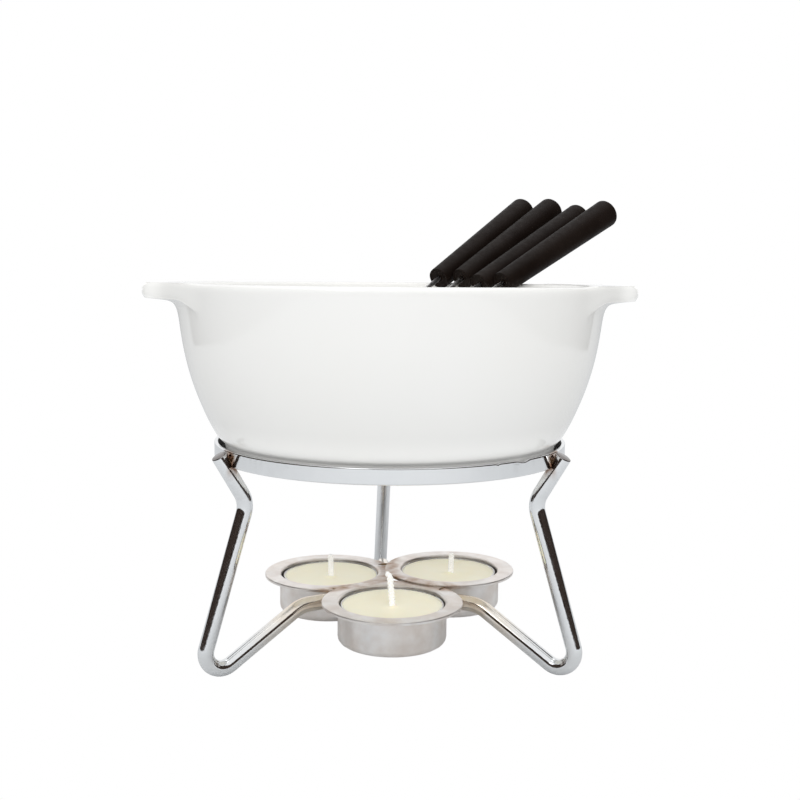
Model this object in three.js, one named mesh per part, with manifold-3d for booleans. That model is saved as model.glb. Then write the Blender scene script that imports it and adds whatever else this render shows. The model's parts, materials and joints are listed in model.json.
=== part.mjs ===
// Fondue pot set: a glazed bowl on a bent-rod stand with three tealight cups and four long forks.
// Millimetres, +Z up. The stand is laid out about its own upright axis, and the whole set is then
// moved sideways so that the middle of its footprint is on the origin.

import * as THREE from 'three';
import * as BufferGeometryUtils from 'three/addons/utils/BufferGeometryUtils.js';
import Module from 'manifold-3d';

const wasm = await Module();
wasm.setup();

// Bowl
const RIM_TOP = 136.4;
const RIM_RADIUS = 77.9;
const LIP = 4.0;
const BOWL_BASE = 75.2;
const BOWL_FLOOR = 81.0;
const FOOT_RADIUS = 59.4;
const BOWL_FACETS = 52;
const FOOT_RING = { inner: 52.5, recess: 1, chamfer: 1.2 };
// The wall's outside from the foot up, and its inside from the rim down, as (out, up) points
const OUTER_WALL = [[61.1, 79.3], [63.4, 81.2], [67.2, 88], [72.0, 100], [75.1, 112], [76.8, 124]];
const INNER_WALL = [[72.4, 124], [70.6, 112], [67.4, 100], [62.4, 90], [56.5, 83.6]];
const FLOOR_RADIUS = 49;

// The two lug handles, level with the rim
const HANDLE_REACH = 89.1;
const HANDLE_THICK = 6.1;
const HANDLE_TIP_HALF = 17;
const HANDLE_CORNER = 8;
const HANDLE_NECK = { out: 82, side: 21 };
const HANDLE_ROOT = { out: 63, side: 42 };
const HANDLE_FLARE = [{ out: 71, side: 36 }, { out: 76, side: 26 }];
const HANDLE_ROUNDING = 1.4;

// Support ring: an upright band with a narrow shelf turned inward along its lower edge
const RING_OUTER = 64.7;
const BAND_THICK = 1.4;
const RING_TOP = 79.2;
const RING_HEIGHT = 5.5;
const SHELF_THICK = 1.2;
const SHELF_INNER = 56.5;

// Legs: one round rod each, bent three times
const ROD_RADIUS = 2.8;
const LEG_TOP = { out: 68.7, up: 77.1 };
const LEG_KNEE = { out: 58.1, up: 60.7, bend: 9 };
const LEG_FOOT = { out: 78.5, up: -4.8, bend: 6.1 };
const LEG_RISE = { out: 37.3, up: 20.5, bend: 12 };
const LEG_INNER = 4;
const RING_CLEARANCE = 0.3;
const LEG_TURNS = { leg_back: 90, leg_left: 210, leg_right: 330 };
const ROD_SIDES = 12;

// Burner cups: pressed steel with a wide flange, lapped over each other
const CUP_SPREAD = 27.0;
const CUP_OUTER = 19.35;
const CUP_WALL = 0.5;
const CUP_DEPTH = 14.6;
const FLANGE_RADIUS = 25.05;
const FLANGE_THICK = 0.6;
const FLANGE_STEP = 0.7;
const LOWEST_FLANGE = 24.2;
const CUPS = [
  { name: 'left', turn: 150, lap: 0, lean: -1 },
  { name: 'front', turn: 270, lap: 1, lean: -7 },
  { name: 'right', turn: 30, lap: 2, lean: 1 },
];
const CUP_BEND = 2;
const SHOULDER = 0.6;
const CUP_FACETS = 32;

// Tealights
const SHELL_RADIUS = 18.55;
const SHELL_WALL = 0.35;
const SHELL_HEIGHT = 13.2;
const SHELL_BEND = 1.3;
const SHELL_CURL = 0.4;
const SHELL_GAP = 0.1;
const WAX_GAP = 0.1;
const WAX_TOP = 11.9;
const WAX_DISH = 0.8;
const WAX_RADIUS = 17.75;
const WAX_RIM = 1;
const WAX_CLIMB = 0.3;
const WICK_HOLE = 1.15;
const WICK_RADIUS = 0.85;
const WICK_TALL = 10.5;
const TAB_RADIUS = 6.5;
const TAB_THICK = 0.3;

// Forks: where the lower end of each handle's axis lies, and where its tines touch the bowl floor
const HANDLE_LENGTH = 71;
const HANDLE_EDGE = 0.4;
const HANDLE_DOME = { out: 2.4, up: 3 };
const HANDLE_BORE_PLAY = 0.05;
const HANDLE_LOW_RADIUS = 4.7;
const HANDLE_HIGH_RADIUS = 6.1;
const SHAFT_RADIUS = 1.1;
const SHAFT_IN_HANDLE = 6;
const SHAFT_END_GAP = 0.3;
const TINE_LENGTH = 24;
const TINE_SPREAD = 2.4;
const TINE_RADIUS = 0.8;
const TINE_FORK = { join: 1, bend: 4, straight: 8 };
const FORKS = [
  { grip: [21.8, 64.2, 137.9], tip: [-49.3, -13.2, 84.6] },
  { grip: [31.2, 59.3, 137.7], tip: [-44.2, -14.1, 84.6] },
  { grip: [37.8, 49.1, 135.6], tip: [-43.8, -19.6, 84.6] },
  { grip: [46.5, 43.5, 136.4], tip: [-37.9, -20.3, 84.6] },
];

// Finishes
const glaze = new THREE.MeshStandardMaterial({ color: 0xf3f1ec, roughness: 0.12, metalness: 0 });
const chrome = new THREE.MeshStandardMaterial({ color: 0xd3d6d8, roughness: 0.08, metalness: 1 });
const pressedSteel = new THREE.MeshStandardMaterial({ color: 0xc4bdb6, roughness: 0.35, metalness: 1 });
const foil = new THREE.MeshStandardMaterial({ color: 0xd9d9d9, roughness: 0.3, metalness: 1 });
const waxFinish = new THREE.MeshStandardMaterial({ color: 0xefe9d3, roughness: 0.5, metalness: 0 });
const cotton = new THREE.MeshStandardMaterial({ color: 0xf4f2ec, roughness: 0.9, metalness: 0 });
const tinned = new THREE.MeshStandardMaterial({ color: 0xb9b9b6, roughness: 0.4, metalness: 1 });
const blackGrip = new THREE.MeshStandardMaterial({ color: 0x191616, roughness: 0.55, metalness: 0 });
const forkSteel = new THREE.MeshStandardMaterial({ color: 0xc9cbcc, roughness: 0.2, metalness: 1 });

const radians = THREE.MathUtils.degToRad;
const at = (out, up) => new THREE.Vector2(out, up);

// ---- Helpers -------------------------------------------------------------------------------

// Merges shared corners, drops the slivers at a lathe's poles and turns the faces outward.
function closed(geometry) {
  geometry.deleteAttribute('normal');
  geometry.deleteAttribute('uv');
  const merged = BufferGeometryUtils.mergeVertices(geometry, 1e-4);
  const index = merged.getIndex().array;
  const place = merged.getAttribute('position');
  const corner = [new THREE.Vector3(), new THREE.Vector3(), new THREE.Vector3()];
  const kept = [];
  let volume = 0;
  for (let i = 0; i < index.length; i += 3) {
    const [a, b, c] = [index[i], index[i + 1], index[i + 2]];
    if (a === b || b === c || c === a) continue;
    [a, b, c].forEach((vertex, k) => corner[k].fromBufferAttribute(place, vertex));
    volume += corner[0].dot(corner[1].cross(corner[2]));
    kept.push(a, b, c);
  }
  if (volume < 0) {
    for (let i = 0; i < kept.length; i += 3) [kept[i], kept[i + 1]] = [kept[i + 1], kept[i]];
  }
  merged.setIndex(kept);
  return merged;
}

function toSolid(geometry) {
  const merged = closed(geometry);
  const vertProperties = Float32Array.from(merged.getAttribute('position').array);
  const triVerts = Uint32Array.from(merged.getIndex().array);
  return new wasm.Manifold(new wasm.Mesh({ numProp: 3, vertProperties, triVerts }));
}

function toGeometry(solid) {
  const mesh = solid.getMesh();
  const geometry = new THREE.BufferGeometry();
  geometry.setAttribute('position', new THREE.BufferAttribute(mesh.vertProperties, 3));
  geometry.setIndex(Array.from(mesh.triVerts));
  return geometry;
}

function piece(name, geometry, material) {
  const mesh = new THREE.Mesh(geometry, material);
  mesh.name = name;
  return mesh;
}

// Turns a profile of (radius, height) points about +Z.
function turned(profile, facets) {
  const geometry = new THREE.LatheGeometry(profile, facets);
  geometry.rotateX(Math.PI / 2);
  return closed(geometry);
}

// Replaces each inner corner of a bent rod's centre line by an arc of its bend radius.
function bentLine(corners, degreesPerStep) {
  const line = [corners[0].clone()];
  for (let i = 1; i < corners.length - 1; i += 1) {
    const corner = corners[i];
    const back = corners[i - 1].clone().sub(corner).normalize();
    const ahead = corners[i + 1].clone().sub(corner).normalize();
    const half = back.angleTo(ahead) / 2;
    const sweep = Math.PI - 2 * half;
    const middle = back.clone().add(ahead).normalize();
    const centre = corner.clone().addScaledVector(middle, corner.bend / Math.sin(half));
    const start = corner.clone().addScaledVector(back, corner.bend / Math.tan(half)).sub(centre);
    const axis = back.clone().cross(ahead).normalize();
    const steps = Math.ceil(sweep / radians(degreesPerStep));
    for (let k = 0; k <= steps; k += 1) {
      line.push(start.clone().applyAxisAngle(axis, -sweep * k / steps).add(centre));
    }
  }
  line.push(corners[corners.length - 1].clone());
  return line;
}

// A curve through given stations, with one extrusion step between each pair.
class StationCurve extends THREE.Curve {
  constructor(stations) {
    super();
    this.stations = stations;
  }

  getPoint(t) {
    const last = this.stations.length - 1;
    const k = Math.min(Math.floor(t * last + 1e-6), last - 1);
    return this.stations[k].clone().lerp(this.stations[k + 1], t * last - k);
  }

  getPointAt(t) {
    return this.getPoint(t);
  }

  getTangentAt(t) {
    const last = this.stations.length - 1;
    const k = Math.round(t * last);
    const before = this.stations[Math.max(k - 1, 0)];
    const after = this.stations[Math.min(k + 1, last)];
    return after.clone().sub(before).normalize();
  }
}

function rod(stations, radius, sides) {
  const section = new THREE.Shape();
  for (let k = 0; k < sides; k += 1) {
    const angle = 2 * Math.PI * k / sides;
    const move = k === 0 ? 'moveTo' : 'lineTo';
    section[move](radius * Math.cos(angle), radius * Math.sin(angle));
  }
  const extrudePath = new StationCurve(stations);
  return closed(new THREE.ExtrudeGeometry(section, { steps: stations.length - 1, extrudePath }));
}

// ---- Bowl ----------------------------------------------------------------------------------

// Outer wall from the foot to the rim, as one smooth curve.
function outerWall(count) {
  const rim = at(RIM_RADIUS, RIM_TOP - LIP / 2);
  return new THREE.SplineCurve([...OUTER_WALL.map((point) => at(...point)), rim]).getPoints(count);
}

// Inner wall from the rim down to the floor.
function innerWall(count) {
  const rim = at(RIM_RADIUS - LIP, RIM_TOP - LIP / 2);
  const wall = INNER_WALL.map((point) => at(...point));
  return new THREE.SplineCurve([rim, ...wall, at(FLOOR_RADIUS, BOWL_FLOOR)]).getPoints(count);
}

function rimArc(count) {
  const points = [];
  for (let k = 1; k < count; k += 1) {
    const angle = Math.PI * k / count;
    const out = RIM_RADIUS - LIP / 2 + LIP / 2 * Math.cos(angle);
    points.push(at(out, RIM_TOP - LIP / 2 + LIP / 2 * Math.sin(angle)));
  }
  return points;
}

function bowlProfile() {
  const { inner, recess, chamfer } = FOOT_RING;
  const foot = [
    at(0, BOWL_BASE + recess), at(inner - recess, BOWL_BASE + recess), at(inner, BOWL_BASE),
    at(FOOT_RADIUS, BOWL_BASE), at(FOOT_RADIUS + chamfer, BOWL_BASE + chamfer),
  ];
  return [...foot, ...outerWall(11), ...rimArc(5), ...innerWall(10), at(0, BOWL_FLOOR)];
}

// Plan of one handle: a blunt tip with round corners that flares into the rim.
function handlePlan() {
  const [flare, waist] = HANDLE_FLARE;
  const straight = HANDLE_TIP_HALF - HANDLE_CORNER;
  const plan = new THREE.Shape();
  plan.moveTo(HANDLE_ROOT.out, -HANDLE_ROOT.side);
  plan.bezierCurveTo(flare.out, -flare.side, waist.out, -waist.side, HANDLE_NECK.out, -HANDLE_NECK.side);
  plan.quadraticCurveTo(HANDLE_REACH, -HANDLE_TIP_HALF, HANDLE_REACH, -straight);
  plan.lineTo(HANDLE_REACH, straight);
  plan.quadraticCurveTo(HANDLE_REACH, HANDLE_TIP_HALF, HANDLE_NECK.out, HANDLE_NECK.side);
  plan.bezierCurveTo(waist.out, waist.side, flare.out, flare.side, HANDLE_ROOT.out, HANDLE_ROOT.side);
  return plan;
}

function bowl() {
  const body = toSolid(turned(bowlProfile(), BOWL_FACETS));
  const rimMiddle = RIM_RADIUS - LIP / 2;
  const hollow = toSolid(turned([
    at(0, BOWL_FLOOR), at(FLOOR_RADIUS, BOWL_FLOOR), at(rimMiddle, RIM_TOP - 3 * HANDLE_THICK),
    at(rimMiddle, RIM_TOP + HANDLE_THICK), at(0, RIM_TOP + HANDLE_THICK),
  ], BOWL_FACETS));
  const edge = HANDLE_ROUNDING;
  const lug = new THREE.ExtrudeGeometry(handlePlan(), {
    depth: HANDLE_THICK - 2 * edge,
    bevelThickness: edge,
    bevelSize: edge,
    bevelOffset: -edge,
    bevelSegments: 2,
    curveSegments: 7,
  });
  lug.translate(0, 0, RIM_TOP - HANDLE_THICK + edge);
  const right = toSolid(lug);
  const left = right.rotate([0, 0, 180]);
  const lugs = right.add(left).subtract(hollow);
  return toGeometry(body.add(lugs));
}

// ---- Stand ---------------------------------------------------------------------------------

function ring(facets) {
  const low = RING_TOP - RING_HEIGHT;
  const inner = RING_OUTER - BAND_THICK;
  return turned([
    at(SHELF_INNER, low), at(RING_OUTER, low), at(RING_OUTER, RING_TOP), at(inner, RING_TOP),
    at(inner, low + SHELF_THICK), at(SHELF_INNER, low + SHELF_THICK), at(SHELF_INNER, low),
  ], facets);
}

// The rod lies in the plane y = 0 and is coped where it meets the outside of the ring.
function leg() {
  const corners = [LEG_TOP, LEG_KNEE, LEG_FOOT, LEG_RISE].map(({ out, up, bend }) => {
    const corner = new THREE.Vector3(out, 0, up);
    corner.bend = bend;
    return corner;
  });
  corners.push(new THREE.Vector3(LEG_INNER, 0, LEG_RISE.up));
  const bar = toSolid(rod(bentLine(corners, 15), ROD_RADIUS, ROD_SIDES));
  const reach = RING_OUTER + RING_CLEARANCE;
  const drum = new THREE.CylinderGeometry(reach, reach, 2 * (RING_HEIGHT + 2), 96);
  drum.rotateX(Math.PI / 2);
  drum.translate(0, 0, RING_TOP);
  return toGeometry(bar.subtract(toSolid(drum)));
}

// A drawn cup with a rounded bottom edge and a flat flange; its height 0 is the flange's top.
function burnerCup() {
  const inner = CUP_OUTER - CUP_WALL;
  const bottom = -CUP_DEPTH;
  const low = bottom + CUP_BEND;
  return turned([
    at(0, bottom), at(CUP_OUTER - CUP_BEND, bottom), at(CUP_OUTER - 0.3 * CUP_BEND, bottom + 0.3 * CUP_BEND),
    at(CUP_OUTER, low), at(CUP_OUTER, -2 * SHOULDER), at(CUP_OUTER + SHOULDER, -FLANGE_THICK),
    at(FLANGE_RADIUS, -FLANGE_THICK), at(FLANGE_RADIUS, 0), at(inner + SHOULDER, 0),
    at(inner, -SHOULDER), at(inner, low), at(inner - 0.3 * CUP_BEND, bottom + 0.6 * CUP_BEND),
    at(inner - 0.8 * CUP_BEND, bottom + CUP_WALL), at(0, bottom + CUP_WALL),
  ], CUP_FACETS);
}

// ---- Tealight, with height 0 at the bottom of its shell --------------------------------------

function shell() {
  const outer = SHELL_RADIUS - SHELL_CURL / 2;
  const inner = outer - SHELL_WALL;
  const curl = SHELL_HEIGHT - SHELL_CURL;
  return turned([
    at(0, 0), at(outer - 1.4 * SHELL_BEND, 0), at(outer - SHELL_WALL / 2, SHELL_BEND),
    at(outer, curl - SHELL_CURL), at(SHELL_RADIUS, curl), at(SHELL_RADIUS - SHELL_CURL / 4, SHELL_HEIGHT),
    at(inner, SHELL_HEIGHT - SHELL_CURL / 2), at(inner - SHELL_WALL / 2, SHELL_BEND + SHELL_WALL / 2),
    at(outer - 1.4 * SHELL_BEND, SHELL_WALL), at(0, SHELL_WALL),
  ], CUP_FACETS);
}

// The wax has a pocket for the wick tab underneath and a hole for the wick.
function wax() {
  const low = SHELL_WALL + WAX_GAP;
  const pocket = low + TAB_THICK + WAX_GAP;
  const dish = WAX_TOP - WAX_DISH;
  return turned([
    at(WICK_HOLE, pocket), at(TAB_RADIUS + WAX_GAP, pocket), at(TAB_RADIUS + WAX_GAP, low),
    at(WAX_RADIUS - SHELL_BEND, low), at(WAX_RADIUS, low + SHELL_BEND), at(WAX_RADIUS, WAX_TOP),
    at(WAX_RADIUS - WAX_RIM, WAX_TOP - WAX_DISH / 2), at(WAX_RADIUS / 2, dish),
    at(WICK_HOLE, dish + WAX_CLIMB), at(WICK_HOLE, pocket),
  ], CUP_FACETS);
}

function wickTab() {
  const low = SHELL_WALL + WAX_GAP / 2;
  const tab = new THREE.CylinderGeometry(TAB_RADIUS, TAB_RADIUS, TAB_THICK, 24);
  tab.rotateX(Math.PI / 2);
  tab.translate(0, 0, low + TAB_THICK / 2);
  return closed(tab);
}

// A braided wick: straight in the wax and leaning above it.
function wick(lean) {
  const low = SHELL_WALL + WAX_GAP + TAB_THICK;
  const out = WAX_TOP - WAX_DISH + 2 * WAX_CLIMB;
  const top = WAX_TOP + WICK_TALL;
  const side = (top - out) * Math.tan(radians(lean));
  const curve = new THREE.QuadraticBezierCurve3(
    new THREE.Vector3(0, 0, out),
    new THREE.Vector3(side * 0.3, 0, (out + top) / 2),
    new THREE.Vector3(side, 0, top),
  );
  return rod([new THREE.Vector3(0, 0, low), ...curve.getPoints(4)], WICK_RADIUS, 8);
}

// ---- Fork, along +Z with height 0 at the tine tips --------------------------------------------

const GRIP_START = new THREE.Vector3(...FORKS[0].grip).distanceTo(new THREE.Vector3(...FORKS[0].tip));

function gripHandle(start) {
  const end = start + HANDLE_LENGTH;
  const bore = SHAFT_RADIUS + HANDLE_BORE_PLAY;
  const boreEnd = start + SHAFT_IN_HANDLE;
  const dome = [30, 55, 75].map((angle) => {
    const out = HANDLE_HIGH_RADIUS - HANDLE_DOME.out * (1 - Math.cos(radians(angle)));
    return at(out, end - HANDLE_DOME.up * (1 - Math.sin(radians(angle))));
  });
  return turned([
    at(0, boreEnd), at(bore, boreEnd), at(bore, start),
    at(HANDLE_LOW_RADIUS - HANDLE_EDGE, start), at(HANDLE_LOW_RADIUS, start + HANDLE_EDGE),
    at(HANDLE_HIGH_RADIUS, end - HANDLE_DOME.up), ...dome, at(0, end),
  ], 24);
}

// Shaft and two tines in one piece: a forked tip whose tines stand one above the other.
function shaftAndTines(start) {
  const end = start + SHAFT_IN_HANDLE - SHAFT_END_GAP;
  const { join, bend, straight } = TINE_FORK;
  const split = TINE_LENGTH - bend + join;
  const shaft = toSolid(turned([
    at(0, split), at(SHAFT_RADIUS, split), at(SHAFT_RADIUS, end), at(0, end),
  ], 12));
  const tine = (side) => toSolid(rod([
    new THREE.Vector3(0, 0, TINE_LENGTH - join),
    new THREE.Vector3(side * TINE_SPREAD * 0.7, 0, TINE_LENGTH - bend),
    new THREE.Vector3(side * TINE_SPREAD, 0, TINE_LENGTH - straight),
    new THREE.Vector3(side * TINE_SPREAD, 0, TINE_LENGTH - 2 * straight),
    new THREE.Vector3(side * TINE_SPREAD, 0, 0),
  ], TINE_RADIUS, 8));
  return toGeometry(shaft.add(tine(1)).add(tine(-1)));
}

// ---- Assembly --------------------------------------------------------------------------------

const set = new THREE.Group();
set.add(piece('bowl', bowl(), glaze));
set.add(piece('support_ring', ring(64), chrome));

for (const [name, turn] of Object.entries(LEG_TURNS)) {
  const bar = piece(name, leg(), chrome);
  bar.rotation.z = radians(turn);
  set.add(bar);
}

for (const { name, turn, lap, lean } of CUPS) {
  const place = new THREE.Group();
  const angle = radians(turn);
  const flange = LOWEST_FLANGE + lap * FLANGE_STEP;
  place.position.set(CUP_SPREAD * Math.cos(angle), CUP_SPREAD * Math.sin(angle), flange);
  place.add(piece(`cup_${name}`, burnerCup(), pressedSteel));
  const tealight = new THREE.Group();
  tealight.position.z = -CUP_DEPTH + CUP_WALL + SHELL_GAP;
  tealight.add(piece(`tealight_shell_${name}`, shell(), foil));
  tealight.add(piece(`tealight_wax_${name}`, wax(), waxFinish));
  tealight.add(piece(`wick_${name}`, wick(lean), cotton));
  tealight.add(piece(`wick_tab_${name}`, wickTab(), tinned));
  place.add(tealight);
  set.add(place);
}

FORKS.forEach(({ grip, tip }, number) => {
  const low = new THREE.Vector3(...tip);
  const high = new THREE.Vector3(...grip);
  const along = high.clone().sub(low).normalize();
  const level = new THREE.Vector3(0, 0, 1).cross(along).normalize();
  const above = along.clone().cross(level);
  const place = new THREE.Group();
  place.quaternion.setFromRotationMatrix(new THREE.Matrix4().makeBasis(above, level.negate(), along));
  place.position.copy(high).addScaledVector(along, -GRIP_START);
  place.add(piece(`fork_handle_${number + 1}`, gripHandle(GRIP_START), blackGrip));
  place.add(piece(`fork_shaft_${number + 1}`, shaftAndTines(GRIP_START), forkSteel));
  set.add(place);
});

const box = new THREE.Box3().setFromObject(set, true);
const middle = box.getCenter(new THREE.Vector3());
set.position.set(-middle.x, -middle.y, 0);

export default set;
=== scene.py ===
# %% [markdown]
# # A fondue pot set
# The set is a white glazed bowl in a chromed ring on three bent rods. Three drawn steel cups hold
# tealights under it, and four forks lean over the rim. The plain model of every part is loaded
# first. It fixes the sizes, the places and what moves, and the cells below give each part its
# finished surface around it.

import json
from math import atan2, ceil, cos, degrees, hypot, pi, radians, sin, tan

import bmesh
import bpy
from mathutils import Matrix, Vector, noise


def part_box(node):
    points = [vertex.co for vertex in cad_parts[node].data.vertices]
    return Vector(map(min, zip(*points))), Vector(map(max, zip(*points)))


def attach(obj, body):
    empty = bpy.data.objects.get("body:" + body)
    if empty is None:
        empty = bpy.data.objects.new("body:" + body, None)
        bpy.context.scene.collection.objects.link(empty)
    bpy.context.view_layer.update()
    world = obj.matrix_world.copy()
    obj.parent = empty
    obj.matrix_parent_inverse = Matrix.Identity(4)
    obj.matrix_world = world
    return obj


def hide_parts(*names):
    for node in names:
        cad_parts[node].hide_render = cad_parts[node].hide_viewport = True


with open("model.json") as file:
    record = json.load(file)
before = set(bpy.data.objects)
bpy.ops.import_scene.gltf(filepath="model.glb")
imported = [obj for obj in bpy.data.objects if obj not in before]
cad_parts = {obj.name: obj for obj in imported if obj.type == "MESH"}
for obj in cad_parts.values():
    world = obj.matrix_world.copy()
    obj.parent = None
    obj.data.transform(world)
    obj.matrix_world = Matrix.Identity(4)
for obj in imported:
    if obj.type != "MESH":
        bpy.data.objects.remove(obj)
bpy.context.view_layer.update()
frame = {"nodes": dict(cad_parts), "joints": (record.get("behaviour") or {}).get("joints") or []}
MM = 0.001

ring_low, ring_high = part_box("support_ring")
AXIS = Vector(((ring_low.x + ring_high.x) / 2, (ring_low.y + ring_high.y) / 2, 0))
print("stand axis at", [round(v / MM, 2) for v in AXIS], "mm")

# %% [markdown]
# ## Camera
# A level room view from a little above the rim, close enough for the near cup to look larger than
# the two behind it. The camera looks at the stand's own axis, so it is placed from that axis.

# %% Camera
CAMERA_BACK = 399.5 * MM
CAMERA_SIDE = -9.96 * MM
CAMERA_UP = 140.6 * MM
CAMERA_PITCH = 0.1178
CAMERA_YAW = 0.034
CAMERA_ROLL = 0.0085
CAMERA_LENS = 48.65


def add_camera():
    data = bpy.data.cameras.new("camera")
    data.lens = CAMERA_LENS
    data.sensor_width = 36
    data.clip_start = 0.01
    camera = bpy.data.objects.new("camera", data)
    bpy.context.collection.objects.link(camera)
    ahead = Matrix.Rotation(-CAMERA_YAW, 3, "Z") @ Matrix.Rotation(-CAMERA_PITCH, 3, "X") @ Vector((0, 1, 0))
    right = ahead.cross(Vector((0, 0, 1))).normalized()
    up = right.cross(ahead)
    rolled_right = right * cos(CAMERA_ROLL) + up * sin(CAMERA_ROLL)
    rolled_up = up * cos(CAMERA_ROLL) - right * sin(CAMERA_ROLL)
    turn = Matrix((rolled_right, rolled_up, -ahead)).transposed().to_4x4()
    camera.matrix_world = Matrix.Translation(AXIS + Vector((CAMERA_SIDE, -CAMERA_BACK, CAMERA_UP))) @ turn
    bpy.context.scene.camera = camera
    return camera


camera = add_camera()
print("camera looks along", [round(v, 3) for v in camera.matrix_world.to_3x3() @ Vector((0, 0, -1))])

# %% [markdown]
# ## Tools for turned and bent parts
# Nearly everything here is either turned about an upright axis, like a bowl on a wheel, or is a
# round rod with a few bends. So there are two makers: one spins an outline, and the other carries a
# circle along a rod, extruding it on the straights and spinning it round the bends. Outlines are
# written with sharp corners and a helper rounds them, because no real edge is knife-sharp. Next to
# each arc it puts one more point on the flat, so that smooth shading doesn't spill over the flat.


# %% Outlines
HOLD = 0.15


def rounded(points, closed=False, steps=4):
    """Points are (out, up) or (out, up, corner radius); each corner with a radius becomes an arc."""
    outline = []
    count = len(points)
    for i, point in enumerate(points):
        here = Vector(point[:2])
        radius = point[2] if len(point) > 2 else 0
        if radius == 0 or (not closed and i in (0, count - 1)):
            outline.append(here)
            continue
        back = (Vector(points[i - 1][:2]) - here).normalized()
        ahead = (Vector(points[(i + 1) % count][:2]) - here).normalized()
        half = back.angle(ahead) / 2
        centre = here + (back + ahead).normalized() * (radius / sin(half))
        start = here + back * (radius / tan(half)) - centre
        end = here + ahead * (radius / tan(half)) - centre
        sweep = start.angle_signed(end)
        outline.append(centre + start + back * radius * HOLD)
        for k in range(steps + 1):
            outline.append(centre + Matrix.Rotation(-sweep * k / steps, 2) @ start)
        outline.append(centre + end + ahead * radius * HOLD)
    return outline


def flowing(points, count):
    """A smooth Catmull-Rom line through the points, with count steps between neighbours."""
    line = []
    ends = [points[0], *points, points[-1]]
    for a, b, c, d in zip(ends, ends[1:], ends[2:], ends[3:]):
        a, b, c, d = (Vector(p) for p in (a, b, c, d))
        for k in range(count):
            t = k / count
            line.append(0.5 * (2 * b + (c - a) * t + (2 * a - 5 * b + 4 * c - d) * t ** 2
                               + (3 * b - a - 3 * c + d) * t ** 3))
    line.append(Vector(points[-1]))
    return line


# %% Turning and bending
def turned(outline, steps, closed=False):
    """Spins an outline of (out, up) millimetres about the upright axis."""
    mesh = bmesh.new()
    corners = [mesh.verts.new((out * MM, 0, up * MM)) for out, up in outline]
    pairs = list(zip(corners, corners[1:]))
    if closed:
        pairs.append((corners[-1], corners[0]))
    edges = [mesh.edges.new(pair) for pair in pairs]
    bmesh.ops.spin(mesh, geom=corners + edges, axis=(0, 0, 1), cent=(0, 0, 0), dvec=(0, 0, 0),
                   angle=2 * pi, steps=steps, use_merge=True)
    bmesh.ops.remove_doubles(mesh, verts=mesh.verts, dist=1e-6)
    bmesh.ops.recalc_face_normals(mesh, faces=mesh.faces)
    return mesh


def carried_circle(mesh, verts, shift):
    """Extrudes an open ring of edges by a shift and gives back the new ring."""
    edges = {edge for vert in verts for edge in vert.link_edges if edge.is_boundary or edge.is_wire}
    grown = bmesh.ops.extrude_edge_only(mesh, edges=list(edges))["geom"]
    fresh = [item for item in grown if isinstance(item, bmesh.types.BMVert)]
    bmesh.ops.translate(mesh, vec=shift, verts=fresh)
    return fresh


def bent_rod(corners, radius, sides, bend_step=6, chamfer=0.25):
    """A round rod in the plane y = 0 through (out, up[, bend radius]) corners in millimetres."""
    places = [Vector((c[0], 0, c[1])) * MM for c in corners]
    bends = [c[2] * MM if len(c) > 2 else 0 for c in corners]
    first = (places[1] - places[0]).normalized()
    turn = first.to_track_quat("Z", "Y").to_matrix().to_4x4()
    mesh = bmesh.new()
    made = bmesh.ops.create_circle(mesh, cap_ends=False, segments=sides, radius=radius * MM,
                                   matrix=Matrix.Translation(places[0]) @ turn)
    ring = made["verts"]
    here = places[0]
    for i in range(1, len(places)):
        if bends[i] == 0:
            ring = carried_circle(mesh, ring, places[i] - here)
            continue
        back = (places[i - 1] - places[i]).normalized()
        ahead = (places[i + 1] - places[i]).normalized()
        half = back.angle(ahead) / 2
        sweep = pi - 2 * half
        start = places[i] + back * (bends[i] / tan(half))
        centre = places[i] + (back + ahead).normalized() * (bends[i] / sin(half))
        ring = carried_circle(mesh, ring, start - here)
        edges = {e for v in ring for e in v.link_edges if all(u in ring for u in e.verts)}
        spun = bmesh.ops.spin(mesh, geom=list(ring) + list(edges), cent=centre, axis=ahead.cross(back),
                              dvec=(0, 0, 0), angle=sweep, steps=ceil(degrees(sweep) / bend_step),
                              use_merge=False)
        ring = [item for item in spun["geom_last"] if isinstance(item, bmesh.types.BMVert)]
        here = places[i] + ahead * (bends[i] / tan(half))
    open_edges = [edge for edge in mesh.edges if edge.is_boundary]
    bmesh.ops.holes_fill(mesh, edges=open_edges, sides=0)
    if chamfer:
        rims = [edge for edge in mesh.edges if any(len(face.verts) > 4 for face in edge.link_faces)]
        bmesh.ops.bevel(mesh, geom=rims, offset=chamfer * MM, offset_type="OFFSET", segments=2,
                        profile=0.5, affect="EDGES", material=-1)
    bmesh.ops.recalc_face_normals(mesh, faces=mesh.faces)
    return mesh


# %% Finishing a piece
made_pieces = []


def finish_piece(name, mesh, finish, body, nodes=(), subdivide=0):
    """Turns a bmesh into an object that rides on a body and stands for the named plain nodes."""
    data = bpy.data.meshes.new(name)
    mesh.to_mesh(data)
    mesh.free()
    data.materials.append(finish)
    data.polygons.foreach_set("use_smooth", [True] * len(data.polygons))
    piece = bpy.data.objects.new(name, data)
    bpy.context.collection.objects.link(piece)
    if subdivide:
        surface = piece.modifiers.new("surface", "SUBSURF")
        surface.levels = subdivide
        surface.render_levels = subdivide
    if nodes:
        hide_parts(*nodes)
    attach(piece, body)
    made_pieces.append(piece)
    return piece


def stand_place(turn=0.0, out=0.0, up=0.0):
    """The matrix that carries a part made about the origin to its place round the stand's axis."""
    angle = radians(turn)
    shift = AXIS + Vector((out * cos(angle), out * sin(angle), up)) * MM
    return Matrix.Translation(shift) @ Matrix.Rotation(angle, 4, "Z")


print("makers ready: turned, bent_rod")

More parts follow.
